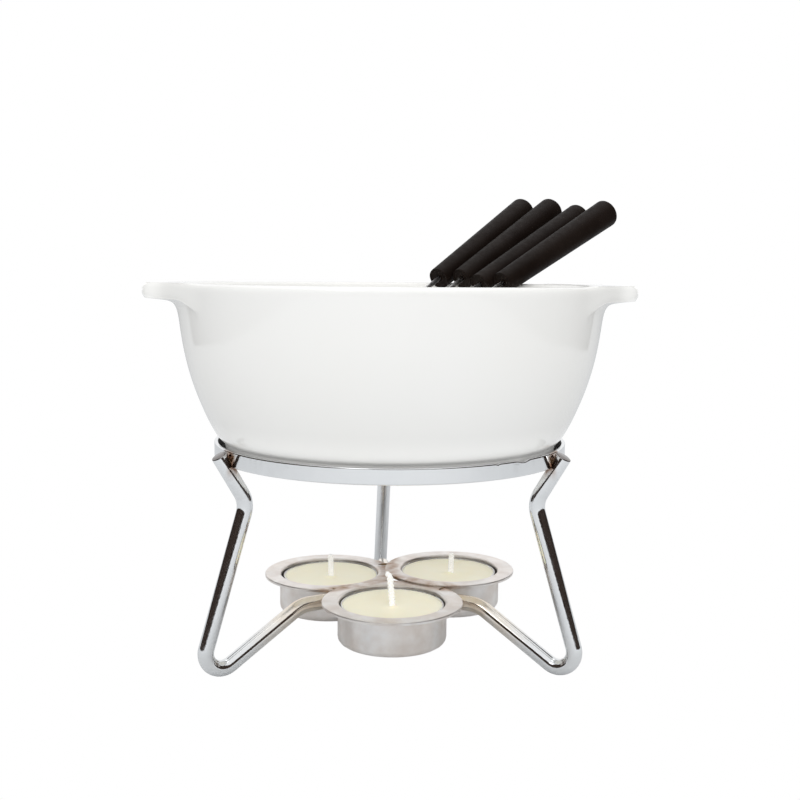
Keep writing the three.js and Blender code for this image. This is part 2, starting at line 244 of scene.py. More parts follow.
# %% [markdown]
# ## Shared effects
# Metal, wax and glaze are never one even value. One group breaks a value up with soft noise and one
# says how far a point is from the brazed joints, which all lie on the three upright planes of the
# legs. Each is built once and placed in every finish that needs it.


# %% Node helpers
def new_group(name, inputs, outputs):
    group = bpy.data.node_groups.new(name, "ShaderNodeTree")
    for label, kind, value in inputs:
        socket = group.interface.new_socket(label, in_out="INPUT", socket_type=kind)
        socket.default_value = value
    for label, kind in outputs:
        group.interface.new_socket(label, in_out="OUTPUT", socket_type=kind)
    return group


def math_node(nodes, links, operation, first, second=None, clamp=False):
    node = nodes.new("ShaderNodeMath")
    node.operation = operation
    node.use_clamp = clamp
    for socket, value in zip(node.inputs, (first, second)):
        if value is None:
            continue
        if isinstance(value, (int, float)):
            socket.default_value = value
        else:
            links.new(value, socket)
    return node.outputs[0]


# %% Group: soft uneven values
def uneven_group():
    """Noise between a low and a high value, at a size given in noise cells per metre."""
    group = new_group(
        "uneven",
        [("Scale", "NodeSocketFloat", 60.0), ("Detail", "NodeSocketFloat", 4.0),
         ("Stretch", "NodeSocketVector", (1.0, 1.0, 1.0)),
         ("Low", "NodeSocketFloat", 0.0), ("High", "NodeSocketFloat", 1.0)],
        [("Value", "NodeSocketFloat")])
    nodes, links = group.nodes, group.links
    given = nodes.new("NodeGroupInput")
    place = nodes.new("ShaderNodeTexCoord")
    stretched = nodes.new("ShaderNodeVectorMath")
    stretched.operation = "MULTIPLY"
    links.new(place.outputs["Object"], stretched.inputs[0])
    links.new(given.outputs["Stretch"], stretched.inputs[1])
    cloud = nodes.new("ShaderNodeTexNoise")
    links.new(stretched.outputs[0], cloud.inputs["Vector"])
    links.new(given.outputs["Scale"], cloud.inputs["Scale"])
    links.new(given.outputs["Detail"], cloud.inputs["Detail"])
    spread = nodes.new("ShaderNodeMapRange")
    spread.inputs["From Min"].default_value = 0.3
    spread.inputs["From Max"].default_value = 0.7
    links.new(cloud.outputs["Fac"], spread.inputs["Value"])
    links.new(given.outputs["Low"], spread.inputs["To Min"])
    links.new(given.outputs["High"], spread.inputs["To Max"])
    out = nodes.new("NodeGroupOutput")
    links.new(spread.outputs["Result"], out.inputs["Value"])
    return group


uneven = uneven_group()


# %% Group: where the brazed joints are
def joints_group():
    """Distances in metres from the nearest leg's upright plane, outward along it, and up."""
    group = new_group(
        "near_joints", [("Axis", "NodeSocketVector", AXIS)],
        [("Sideways", "NodeSocketFloat"), ("Outward", "NodeSocketFloat"),
         ("Height", "NodeSocketFloat"), ("Reach", "NodeSocketFloat")])
    nodes, links = group.nodes, group.links
    given = nodes.new("NodeGroupInput")
    place = nodes.new("ShaderNodeTexCoord")
    centred = nodes.new("ShaderNodeVectorMath")
    centred.operation = "SUBTRACT"
    links.new(place.outputs["Object"], centred.inputs[0])
    links.new(given.outputs["Axis"], centred.inputs[1])
    split = nodes.new("ShaderNodeSeparateXYZ")
    links.new(centred.outputs[0], split.inputs[0])
    angle = math_node(nodes, links, "ARCTAN2", split.outputs["Y"], split.outputs["X"])
    folded = math_node(nodes, links, "PINGPONG", math_node(nodes, links, "SUBTRACT", angle, pi / 2), pi / 3)
    squared_x = math_node(nodes, links, "MULTIPLY", split.outputs["X"], split.outputs["X"])
    squared_y = math_node(nodes, links, "MULTIPLY", split.outputs["Y"], split.outputs["Y"])
    reach = math_node(nodes, links, "SQRT", math_node(nodes, links, "ADD", squared_x, squared_y))
    out = nodes.new("NodeGroupOutput")
    sideways = math_node(nodes, links, "MULTIPLY", reach, math_node(nodes, links, "SINE", folded))
    outward = math_node(nodes, links, "MULTIPLY", reach, math_node(nodes, links, "COSINE", folded))
    links.new(sideways, out.inputs["Sideways"])
    links.new(outward, out.inputs["Outward"])
    links.new(split.outputs["Z"], out.inputs["Height"])
    links.new(reach, out.inputs["Reach"])
    return group


near_joints = joints_group()
print("shared groups:", uneven.name, near_joints.name)


# %% Starting a finish
class Finish:
    """A material with its Principled shader and short ways to add and join nodes."""

    def __init__(self, name, colour, roughness, metallic=0.0):
        self.material = bpy.data.materials.new(name)
        self.material.use_nodes = True
        self.nodes = self.material.node_tree.nodes
        self.links = self.material.node_tree.links
        self.shader = self.nodes["Principled BSDF"]
        self.shader.inputs["Base Color"].default_value = (*colour, 1)
        self.shader.inputs["Roughness"].default_value = roughness
        self.shader.inputs["Metallic"].default_value = metallic

    def uneven(self, scale, low, high, detail=4.0, stretch=(1, 1, 1)):
        node = self.nodes.new("ShaderNodeGroup")
        node.node_tree = uneven
        for label, value in (("Scale", scale), ("Detail", detail), ("Stretch", stretch),
                             ("Low", low), ("High", high)):
            node.inputs[label].default_value = value
        return node.outputs["Value"]

    def joints(self):
        node = self.nodes.new("ShaderNodeGroup")
        node.node_tree = near_joints
        return node.outputs

    def maths(self, operation, first, second=None, clamp=False):
        return math_node(self.nodes, self.links, operation, first, second, clamp)

    def ramp(self, value, low, high, start=0.0, end=1.0):
        """Maps value from low..high smoothly to start..end."""
        node = self.nodes.new("ShaderNodeMapRange")
        node.interpolation_type = "SMOOTHSTEP"
        node.inputs["From Min"].default_value = low
        node.inputs["From Max"].default_value = high
        node.inputs["To Min"].default_value = start
        node.inputs["To Max"].default_value = end
        self.links.new(value, node.inputs["Value"])
        return node.outputs["Result"]

    def blend(self, factor, first, second):
        node = self.nodes.new("ShaderNodeMix")
        node.data_type = "RGBA"
        self.links.new(factor, node.inputs["Factor"])
        for socket, value in ((node.inputs["A"], first), (node.inputs["B"], second)):
            if isinstance(value, tuple):
                socket.default_value = (*value, 1)
            else:
                self.links.new(value, socket)
        return node.outputs["Result"]

    def colour(self, value):
        self.links.new(value, self.shader.inputs["Base Color"])

    def roughness(self, value):
        self.links.new(value, self.shader.inputs["Roughness"])

    def bump(self, height, strength, distance):
        node = self.nodes.new("ShaderNodeBump")
        node.inputs["Strength"].default_value = strength
        node.inputs["Distance"].default_value = distance
        self.links.new(height, node.inputs["Height"])
        self.links.new(node.outputs["Normal"], self.shader.inputs["Normal"])


# %% [markdown]
# ## Glaze
# A thick white glaze is glossy but not flat: it pulls into faint waves as it melts, and its white
# warms a little where it lies thickest. The waves are a very shallow bump, so that reflections bend
# softly and don't break up. Low on the wall and on the lugs the glaze is given a faint emission,
# which is painted light: it brightens those parts as though more light fell on them.


# %% Glaze
# how strong the painted light is, and where it fades, in metres
PAINTED_LIGHT = 0.12
PAINTED_LIGHT_LOW = 0.080
PAINTED_LIGHT_HIGH = 0.090
PAINTED_LIGHT_WALL = 0.0785
PAINTED_LIGHT_LUG = 0.0860


def glaze_finish():
    finish = Finish("white_glaze", (0.83, 0.82, 0.795), 0.07)
    finish.shader.inputs["IOR"].default_value = 1.42
    warm = finish.uneven(14, 0, 1, detail=2)
    finish.colour(finish.blend(warm, (0.835, 0.828, 0.80), (0.85, 0.845, 0.825)))
    finish.roughness(finish.uneven(90, 0.05, 0.12))
    finish.bump(finish.uneven(35, 0, 1, detail=1.5), 0.12, 0.0004)
    place = finish.joints()
    # painted light: a faint emission brightens the glaze low on the wall and on the lugs
    painted_light_mask = finish.maths("MAXIMUM", finish.ramp(place["Height"], PAINTED_LIGHT_LOW, PAINTED_LIGHT_HIGH, 1.0, 0.0),
                           finish.ramp(place["Reach"], PAINTED_LIGHT_WALL, PAINTED_LIGHT_LUG))
    painted_light_colour = finish.blend(painted_light_mask, (0, 0, 0), (1, 1, 0.98))
    finish.links.new(painted_light_colour, finish.shader.inputs["Emission Color"])
    finish.shader.inputs["Emission Strength"].default_value = PAINTED_LIGHT
    return finish.material


glaze = glaze_finish()
print("finish:", glaze.name)

# %% [markdown]
# ## Bowl
# The bowl is thrown round, so it is an outline spun about the axis. Its two lugs grow out of the
# same clay: the wall's faces on each side are extruded in five steps, each step moved part of the way
# to the plan of the lug. Subdivision then melts the steps together, which gives the soft inner
# corners that glaze fills.

# %% Bowl sizes
RIM_TOP = 136.4
RIM_OUT = 77.9
LIP = 4.0
BOWL_STEPS = 96
LUG_COLUMNS = 9
LUG_OUT = 89.1
LUG_THICK = 6.5
LUG_TAPER = 1.0
WALL = [(61.1, 79.3), (63.4, 81.2), (67.2, 88), (72.0, 100), (75.1, 112), (76.8, 124),
        (RIM_OUT, RIM_TOP - LIP / 2)]
INSIDE = [(RIM_OUT - LIP, RIM_TOP - LIP / 2), (72.4, 124), (70.6, 112), (67.4, 100), (62.4, 90),
          (56.5, 83.6), (49, 81)]
WALL_HEIGHTS = (79.3, 80.2, 81.2, 83.5, 87, 92, 98, 104, 110, 116, 121.5)
FOOT = [(0, 76.2), (50, 76.2, 1), (51.6, 75.2, 0.8), (60.2, 75.2, 1.2), (61.1, 78.6)]
LIP_TURNS = (0, 40, 90, 140, 180)
LUG_ROWS = (126.0, 128.7, 131.6)
LUG_SHARES = (0.09, 0.24, 0.62, 0.93, 1.0)
LUG_GATHER = (0.74, 0.98, 1.0, 1.0, 1.0)
LUG_ROUNDING = 1.1
FLOOR_TOP = 81
FLOOR_FLAT = 24


# %% Bowl outline
def wall_out(up):
    """The outer wall's radius at a height."""
    line = flowing(WALL, 12)
    low, high = next(pair for pair in zip(line, line[1:]) if up <= pair[1].y)
    return low.x + (high.x - low.x) * (up - low.y) / (high.y - low.y)


def bowl_outline():
    """Foot, outer wall, lip and inner wall, as one line from the middle round to the middle."""
    wall = [(wall_out(up), up) for up in WALL_HEIGHTS + LUG_ROWS]
    half = LIP / 2
    lip = [(RIM_OUT - half + half * cos(radians(turn)), RIM_TOP - half + half * sin(radians(turn)))
           for turn in LIP_TURNS]
    inside = flowing(INSIDE, 2)[1:] + [Vector((FLOOR_FLAT, FLOOR_TOP)), Vector((0, FLOOR_TOP))]
    return [tuple(point) for point in rounded(FOOT, steps=2) + wall + lip + inside]


# %% Lugs
LUG_PLAN = [(LUG_OUT, 0), (LUG_OUT, 4.5), (LUG_OUT, 9), (88.7, 12.8), (86.9, 16.2), (83.8, 19.4),
            (80.2, 23.4), (76.4, 29), (71.6, 35.6)]


def lug_target(column):
    """The plan of the lug at a column counted from its middle; the last column stays on the rim."""
    if abs(column) >= LUG_COLUMNS:
        return None
    out, side = LUG_PLAN[abs(column)]
    return Vector((out, side if column >= 0 else -side))


def lug_height(up, share, gather):
    """Gathers the wall's rows into the thickness of the lug as they move outward."""
    thick = LUG_THICK - LUG_TAPER * share
    spread = (up - LUG_ROWS[0]) / (RIM_TOP - LUG_ROWS[0])
    full = RIM_TOP - thick * (1 - spread)
    return up + (full - up) * gather


def add_lugs(mesh, side):
    """Extrudes the wall faces on one side (+1 or -1 along X) into a lug."""
    step = 2 * pi / BOWL_STEPS

    def column_of(point):
        return atan2(point.y, point.x * side) / step

    def in_band(face):
        middle = face.calc_center_median()
        outside = hypot(middle.x, middle.y) > (RIM_OUT - LIP / 2 + 0.05) * MM
        high = middle.z > (LUG_ROWS[0] + 0.1) * MM
        return outside and high and abs(column_of(middle)) < LUG_COLUMNS

    def spot(vert):
        return tuple(round(c, 7) for c in vert.co)

    faces = [face for face in mesh.faces if in_band(face)]
    roots = {}
    for share, gather in zip(LUG_SHARES, LUG_GATHER):
        grown = bmesh.ops.extrude_face_region(mesh, geom=faces)["geom"]
        bmesh.ops.delete(mesh, geom=faces, context="FACES")
        faces = [item for item in grown if isinstance(item, bmesh.types.BMFace)]
        fresh = [item for item in grown if isinstance(item, bmesh.types.BMVert)]
        root_of = {vert: roots.get(spot(vert), vert.co.copy()) for vert in fresh}
        for vert, root in root_of.items():
            target = lug_target(round(column_of(root)))
            if target is None:
                continue
            start = Vector((root.x * side, root.y)) / MM
            up = root.z / MM
            moved = start.lerp(target, share)
            if share == 1.0 and min(up - LUG_ROWS[0], RIM_TOP - up) < LUG_ROUNDING:
                moved -= (target - start).normalized() * LUG_ROUNDING
            vert.co = Vector((moved.x * side, moved.y, lug_height(up, share, gather))) * MM
        roots = {spot(vert): root for vert, root in root_of.items()}
    print("lug", "right" if side > 0 else "left", "columns", 2 * LUG_COLUMNS)


def make_bowl():
    mesh = turned(bowl_outline(), BOWL_STEPS)
    add_lugs(mesh, 1)
    add_lugs(mesh, -1)
    bmesh.ops.remove_doubles(mesh, verts=mesh.verts, dist=2e-6)
    bmesh.ops.recalc_face_normals(mesh, faces=mesh.faces)
    bmesh.ops.transform(mesh, matrix=stand_place(), verts=mesh.verts)
    return finish_piece("glazed_bowl", mesh, glaze, "bowl", ["bowl"], subdivide=2)


bowl = make_bowl()
print("bowl faces before subdivision:", len(bowl.data.polygons))

# %% [markdown]
# ## Chrome
# Bright plating is a mirror, so what it shows is the room. The finish adds what breaks that
# mirror: fine rubbing marks and the brown heat tint beside each brazed joint. It also paints the
# sawn ends of the rods dark as a painted dark reflection, and paints the inside of the ring nearly
# black as painted shade in the gap under the bowl.


# %% Chrome
# where each stain and the painted shade fade in, in metres
RING_STAIN_UP = (0.0685, 0.0745)
RING_STAIN_ASIDE = (0.0052, 0.0024)
RING_STAIN_OUT = (0.0672, 0.0652)
CUP_TINT_OUT = (0.062, 0.036)
CUP_TINT_UP = (0.030, 0.024)
SHADE_INSIDE_OUT = (0.0636, 0.0632)
SHADE_INSIDE_UP = (0.0740, 0.0745)
ROD_OUTWARD = 0.506
ROD_UPWARD = 0.862
ROD_END = 0.1017


def chrome_finish():
    finish = Finish("chrome_plate", (0.80, 0.81, 0.82), 0.08, 1.0)
    joints = finish.joints()
    at_ring = finish.maths("MULTIPLY", finish.ramp(joints["Height"], *RING_STAIN_UP),
                           finish.ramp(joints["Sideways"], *RING_STAIN_ASIDE))
    at_ring = finish.maths("MULTIPLY", at_ring, finish.ramp(joints["Outward"], *RING_STAIN_OUT))
    at_cups = finish.maths("MULTIPLY", finish.ramp(joints["Outward"], *CUP_TINT_OUT),
                           finish.ramp(joints["Height"], *CUP_TINT_UP))
    tone = finish.blend(finish.uneven(40, 0, 1), (0.80, 0.815, 0.825), (0.86, 0.87, 0.875))
    golden = finish.blend(finish.uneven(150, 0, 1), (0.92, 0.87, 0.79), (0.84, 0.70, 0.53))
    warmed = finish.blend(at_cups, tone, golden)
    stain = finish.maths("MULTIPLY", at_ring, finish.uneven(260, 0.4, 1.0))
    tinted = finish.blend(stain, warmed, (0.30, 0.16, 0.075))
    # painted shade: the inside of the ring is painted nearly black, for the dark gap under the bowl
    painted_shade_inside = finish.maths("MULTIPLY", finish.ramp(joints["Reach"], *SHADE_INSIDE_OUT),
                          finish.ramp(joints["Height"], *SHADE_INSIDE_UP))
    along_rod = finish.maths("ADD", finish.maths("MULTIPLY", joints["Outward"], ROD_OUTWARD),
                             finish.maths("MULTIPLY", joints["Height"], ROD_UPWARD))
    # painted reflection: the sawn rod ends are painted dark in place of the dark reflection they show
    painted_dark_ends = finish.ramp(along_rod, ROD_END - 0.0003, ROD_END - 0.0001)
    with_painted_ends = finish.blend(painted_dark_ends, tinted, (0.24, 0.22, 0.21))
    finish.colour(finish.blend(painted_shade_inside, with_painted_ends, (0.012, 0.010, 0.009)))
    worn = finish.uneven(500, 0.05, 0.12, stretch=(1, 1, 0.25))
    dulled = finish.maths("MULTIPLY", at_cups, finish.uneven(220, 0.01, 0.09))
    dulled = finish.maths("ADD", dulled, finish.maths("MULTIPLY", painted_shade_inside, 0.4))
    finish.roughness(finish.maths("ADD", worn, dulled))
    finish.bump(finish.uneven(650, 0, 1, detail=2), 0.10, 0.00006)
    return finish.material


chrome = chrome_finish()
print("finish:", chrome.name)

# %% [markdown]
# ## Ring
# The ring is a flat band with a narrow shelf turned inward, on which the bowl stands. It is an
# outline spun closed. Real bands of this kind are rolled from strip and are never quite true, so its
# upper edge has one shallow nick and one small one.

# %% Ring
RING_OUT = (ring_high.x - ring_low.x) / 2 / MM
RING_TOP = ring_high.z / MM
RING_LOW = ring_low.z / MM
BAND = 1.4
SHELF = 1.2
SHELF_IN = 56.5
RING_STEPS = 480
NICKS = [(-48.0, 3.6, 0.75), (-58.6, 0.9, 0.35)]


def nick_depth(turn):
    """How deep the upper edge is worn at a turn round the axis, in millimetres."""
    depth = 0.0
    for centre, half, deep in NICKS:
        near = max(0.0, 1 - abs(turn - centre) / half)
        depth += deep * near * near * (3 - 2 * near)
    return depth


def make_ring():
    inner = RING_OUT - BAND
    outline = rounded([(SHELF_IN, RING_LOW, 0.3), (RING_OUT, RING_LOW, 0.45), (RING_OUT, RING_TOP, 0.4),
                       (inner, RING_TOP, 0.4), (inner, RING_LOW + SHELF, 0.5),
                       (SHELF_IN, RING_LOW + SHELF, 0.3)], closed=True, steps=3)
    mesh = turned(outline, RING_STEPS, closed=True)
    for vert in mesh.verts:
        high = max(0.0, (vert.co.z / MM - RING_LOW - 3) / (RING_TOP - RING_LOW - 3))
        vert.co.z -= nick_depth(degrees(atan2(vert.co.y, vert.co.x))) * MM * high
    bmesh.ops.transform(mesh, matrix=stand_place(), verts=mesh.verts)
    return finish_piece("ring_band", mesh, chrome, "stand", ["support_ring"])


ring = make_ring()
print("ring", round(2 * RING_OUT, 1), "mm across")

# %% [markdown]
# ## Legs
# Each leg is one rod with three bends: it comes down and in from the ring, then down and out to the
# foot, and then turns back up to the middle under the cups. The three are the same rod at three
# turns, so one maker and a loop make them. The back one was brazed a little askew, so it is swung.

# %% Legs
ROD = 2.8
LEG_LINE = [(68.2, 77.9), (58.1, 60.7, 9), (78.5, -4.8, 6.1), (37.3, 20.5, 12), (4, 20.5)]
LEG_TURNS = {"leg_back": 90, "leg_left": 210, "leg_right": 330}
LEG_SWING = {"leg_back": 1.8, "leg_left": 0, "leg_right": 0}


def make_leg(node, turn):
    """One rod, swung sideways about its joint with the ring and carried to its turn."""
    mesh = bent_rod(LEG_LINE, ROD, 32)
    joint = Matrix.Translation(Vector((0, 0, LEG_LINE[0][1])) * MM)
    swing = joint @ Matrix.Rotation(radians(LEG_SWING[node]), 4, "X") @ joint.inverted()
    bmesh.ops.transform(mesh, matrix=swing, verts=mesh.verts)
    bmesh.ops.transform(mesh, matrix=stand_place(turn), verts=mesh.verts)
    return finish_piece(node.replace("leg", "bent_leg"), mesh, chrome, "stand", [node])


legs = [make_leg(node, turn) for node, turn in LEG_TURNS.items()]
print("legs:", [leg.name for leg in legs])

# %% [markdown]
# ## Braze beads
# The rods are brazed to the ring and to the cup flanges. The filler leaves a small lumpy fillet, darker
# than the plating. Each bead is a rounded ball pulled long and then roughened, because molten filler
# draws itself into smooth lumps and never into a straight line.


# %% Braze
BEAD_LUMPS = 900
BEAD_PUSH = 0.22
BEAD_PLACE = (64.9, 1.7, 75.9)
BEAD_SIZE = (0.55, 0.5, 2.5)
LAP_OUT = 22.8
LAP_UP = {"leg_back": 24.2, "leg_left": 23.9, "leg_right": 24.7}
LAP_SIZE = (0.7, 3.6, 0.55)


def braze_finish():
    finish = Finish("braze", (0.24, 0.14, 0.08), 0.35, 1.0)
    finish.colour(finish.blend(finish.uneven(700, 0, 1), (0.10, 0.055, 0.03), (0.42, 0.29, 0.17)))
    finish.roughness(finish.uneven(500, 0.22, 0.5))
    finish.bump(finish.uneven(900, 0, 1), 0.4, 0.0002)
    return finish.material


braze = braze_finish()


def make_bead(name, size, matrix, seed):
    mesh = bmesh.new()
    bmesh.ops.create_icosphere(mesh, subdivisions=3, radius=MM)
    bmesh.ops.scale(mesh, vec=size, verts=mesh.verts)
    for vert in mesh.verts:
        push = noise.noise(vert.co * BEAD_LUMPS + Vector((seed * 7.3, 0, 0)))
        vert.co *= 1 + BEAD_PUSH * push
    bmesh.ops.transform(mesh, matrix=matrix, verts=mesh.verts)
    return finish_piece(name, mesh, braze, "stand")


def add_ring_beads():
    """A bead on each side of a rod, where it meets the ring."""
    lean = atan2(LEG_LINE[0][0] - LEG_LINE[1][0], LEG_LINE[0][1] - LEG_LINE[1][1])
    out, aside, up = BEAD_PLACE
    for number, (node, turn) in enumerate(LEG_TURNS.items()):
        for side in (-1, 1):
            place = stand_place(turn) @ Matrix.Translation(Vector((out, side * aside, up)) * MM)
            place = place @ Matrix.Rotation(lean, 4, "Y")
            label = f"bead_ring_{node[4:]}_{'a' if side < 0 else 'b'}"
            make_bead(label, BEAD_SIZE, place, number * 2 + side)


def add_lap_beads():
    """Thin runs of filler where two flanges lap over a rod."""
    for number, (node, turn) in enumerate(LEG_TURNS.items()):
        place = stand_place(turn, LAP_OUT, LAP_UP[node])
        make_bead(f"bead_lap_{node[4:]}", LAP_SIZE, place, 10 + number)


add_ring_beads()
add_lap_beads()
print("braze beads:", len([p for p in made_pieces if p.name.startswith("bead")]))

# %% [markdown]
# ## Cups
# Each cup is drawn from thin sheet, so it has a round bottom corner, a soft shoulder and a wide flat
# flange with its edge turned down. The surface is satin with faint upright streaks from the press
# and warm smudges from handling. Heat from brazing has turned it brown beside the rods.


# %% Pressed steel
def pressed_finish():
    finish = Finish("pressed_steel", (0.80, 0.77, 0.74), 0.34, 1.0)
    joints = finish.joints()
    close = finish.ramp(joints["Sideways"], 0.0060, 0.0012)
    inner = finish.ramp(joints["Outward"], 0.046, 0.034)
    patches = finish.uneven(190, 0.0, 1.0)
    heat = finish.maths("MULTIPLY", finish.maths("MULTIPLY", close, inner), patches)
    tone = finish.blend(finish.uneven(70, 0, 1), (0.95, 0.895, 0.845), (0.97, 0.965, 0.96))
    smudged = finish.blend(finish.uneven(150, 0.0, 0.6, detail=6), tone, (0.72, 0.63, 0.56))
    finish.colour(finish.blend(heat, smudged, (0.42, 0.22, 0.10)))
    upright = finish.uneven(260, 0.0, 1.0, stretch=(1, 1, 0.12))
    soft = finish.ramp(upright, 0.0, 1.0, 0.32, 0.46)
    finish.roughness(finish.maths("ADD", soft, finish.maths("MULTIPLY", heat, 0.12)))
    finish.bump(upright, 0.12, 0.0001)
    return finish.material


pressed = pressed_finish()

# %% Cup sizes
CUP_SPREAD = 27.0
CUP_SHIFT = 0.55
CUP_TURNS = {"left": 150, "front": 270, "right": 30}
CUP_OUT = 19.35
CUP_WALL = 0.5
FLANGE_THICK = 0.6
EDGE_WALL = 0.5
EDGE_DROP = 1.15


def make_cup(name, turn):
    """A cup with its height and flange taken from the plain cup."""
    low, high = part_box(f"cup_{name}")
    top = high.z / MM
    bottom = low.z / MM - top
    flange = (high.x - low.x) / 2 / MM
    inner = CUP_OUT - CUP_WALL
    outline = rounded([
        (0, bottom), (CUP_OUT, bottom, 2.2), (CUP_OUT, -FLANGE_THICK, 0.6),
        (flange - EDGE_WALL, -FLANGE_THICK, 0.2), (flange - EDGE_WALL, -EDGE_DROP, 0.15),
        (flange, -EDGE_DROP, 0.2), (flange, 0, 0.4), (inner, 0, 1.1),
        (inner, bottom + CUP_WALL, 1.7), (0, bottom + CUP_WALL),
    ], steps=4)
    mesh = turned(outline, 128)
    place = Matrix.Translation((CUP_SHIFT * MM, 0, 0)) @ stand_place(turn, CUP_SPREAD, top)
    bmesh.ops.transform(mesh, matrix=place, verts=mesh.verts)
    return finish_piece(f"burner_cup_{name}", mesh, pressed, "stand", [f"cup_{name}"])


cups = [make_cup(name, turn) for name, turn in CUP_TURNS.items()]
print("cups:", [cup.name for cup in cups])

# %% [markdown]
# ## Tealights
# A tealight is a thin foil shell with a curled rim, a poured disc of wax and a braided wick. The wax
# shrank as it set, so it climbs a little at the foil and at the wick and dips between them.


# %% Tealight finishes
def foil_finish():
    finish = Finish("thin_foil", (0.86, 0.86, 0.86), 0.22, 1.0)
    finish.colour(finish.blend(finish.uneven(120, 0, 1), (0.80, 0.80, 0.80), (0.90, 0.90, 0.89)))
    finish.roughness(finish.uneven(300, 0.14, 0.32))
    finish.bump(finish.uneven(240, 0, 1), 0.2, 0.0002)
    return finish.material


def wax_finish():
    finish = Finish("cream_wax", (0.93, 0.90, 0.75), 0.42)
    finish.shader.inputs["Subsurface Weight"].default_value = 0.35
    finish.shader.inputs["Subsurface Radius"].default_value = (1.0, 0.8, 0.5)
    finish.shader.inputs["Subsurface Scale"].default_value = 0.003
    # painted light: a faint emission brightens the wax as though more light fell on it
    finish.shader.inputs["Emission Color"].default_value = (1.0, 0.93, 0.74, 1)
    finish.shader.inputs["Emission Strength"].default_value = 0.10
    finish.colour(finish.blend(finish.uneven(55, 0, 1), (0.91, 0.855, 0.65), (0.93, 0.885, 0.70)))
    finish.roughness(finish.uneven(160, 0.32, 0.5))
    finish.bump(finish.uneven(110, 0, 1, detail=3), 0.25, 0.0003)
    return finish.material


def wick_finish():
    finish = Finish("waxed_cotton", (0.96, 0.955, 0.94), 0.75)
    # painted light: a faint emission brightens the wick as though more light fell on it
    finish.shader.inputs["Emission Color"].default_value = (1.0, 0.99, 0.97, 1)
    finish.shader.inputs["Emission Strength"].default_value = 0.12
    finish.colour(finish.blend(finish.uneven(600, 0, 1), (0.92, 0.91, 0.88), (0.98, 0.975, 0.96)))
    finish.bump(finish.uneven(1500, 0, 1, detail=2), 0.5, 0.0002)
    return finish.material


foil = foil_finish()
wax = wax_finish()
cotton = wick_finish()

# %% Tealight sizes
SHELL_OUT = 18.3
SHELL_WALL = 0.25
SHELL_TALL = 13.0
WAX_TOP = 12.5
WAX_DIP = 0.8
WAX_RIPPLE = 0.16
WAX_RIPPLES = 160


# %% Shell and wax
def make_shell(name, matrix):
    inner = SHELL_OUT - SHELL_WALL - 0.2
    outline = rounded([
        (0, 0), (17.4, 0, 1.2), (SHELL_OUT - 0.25, SHELL_TALL - 1.0, 0.3),
        (SHELL_OUT + 0.1, SHELL_TALL - 0.5, 0.3), (SHELL_OUT - 0.1, SHELL_TALL, 0.25),
        (inner, SHELL_TALL - 0.15, 0.2), (inner - 0.3, SHELL_WALL, 1), (0, SHELL_WALL),
    ], steps=3)
    mesh = turned(outline, 96)
    bmesh.ops.transform(mesh, matrix=matrix, verts=mesh.verts)
    body = f"tealight_{name}"
    return finish_piece(f"foil_shell_{name}", mesh, foil, body, [f"tealight_shell_{name}"])


def make_wax(name, matrix, seed):
    side = SHELL_OUT - SHELL_WALL - 0.3
    low = SHELL_WALL + 0.1
    top = flowing([(side, WAX_TOP + 0.15), (side - 0.8, WAX_TOP - 0.25), (side - 3, WAX_TOP - 0.5),
                   (9, WAX_TOP - WAX_DIP), (3.2, WAX_TOP - WAX_DIP), (1.4, WAX_TOP - WAX_DIP + 0.45),
                   (0, WAX_TOP - WAX_DIP + 0.6)], 4)
    mesh = turned([Vector((0, low + 0.5)), Vector((16.4, low)), Vector((side - 0.4, 1.6))] + top, 96)
    for vert in mesh.verts:
        if vert.co.z > 5 * MM:
            spot = Vector((vert.co.x, vert.co.y, seed)) * WAX_RIPPLES
            vert.co.z += WAX_RIPPLE * MM * noise.noise(spot)
    bmesh.ops.transform(mesh, matrix=matrix, verts=mesh.verts)
    body = f"tealight_{name}"
    return finish_piece(f"poured_wax_{name}", mesh, wax, body, [f"tealight_wax_{name}"])


# %% Wick
STRANDS = 3
STRAND_THICK = 0.6
BRAID_WIDE = 0.62
BRAID_DEEP = 0.28
BRAID_TURNS = 3.2
WICK_STATIONS = 30
FRAY_FROM = 0.84


def carried_loop(mesh, loop, shift, size):
    """Extrudes the capped end of a strand by a shift and scales its new end."""
    cap = next(face for face in loop[0].link_faces if set(face.verts) == set(loop))
    grown = bmesh.ops.extrude_face_region(mesh, geom=[cap])["geom"]
    bmesh.ops.delete(mesh, geom=[cap], context="FACES_ONLY")
    fresh = [item for item in grown if isinstance(item, bmesh.types.BMVert)]
    bmesh.ops.translate(mesh, vec=shift, verts=fresh)
    middle = sum((vert.co for vert in fresh), Vector()) / len(fresh)
    bmesh.ops.scale(mesh, vec=(size, size, size), verts=fresh, space=Matrix.Translation(-middle))
    return fresh


def wick_lean(name, middle_x):
    """How far the top of the plain wick stands to one side of the plain tealight's middle."""
    low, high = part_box(f"wick_{name}")
    return low.x + high.x - 2 * middle_x


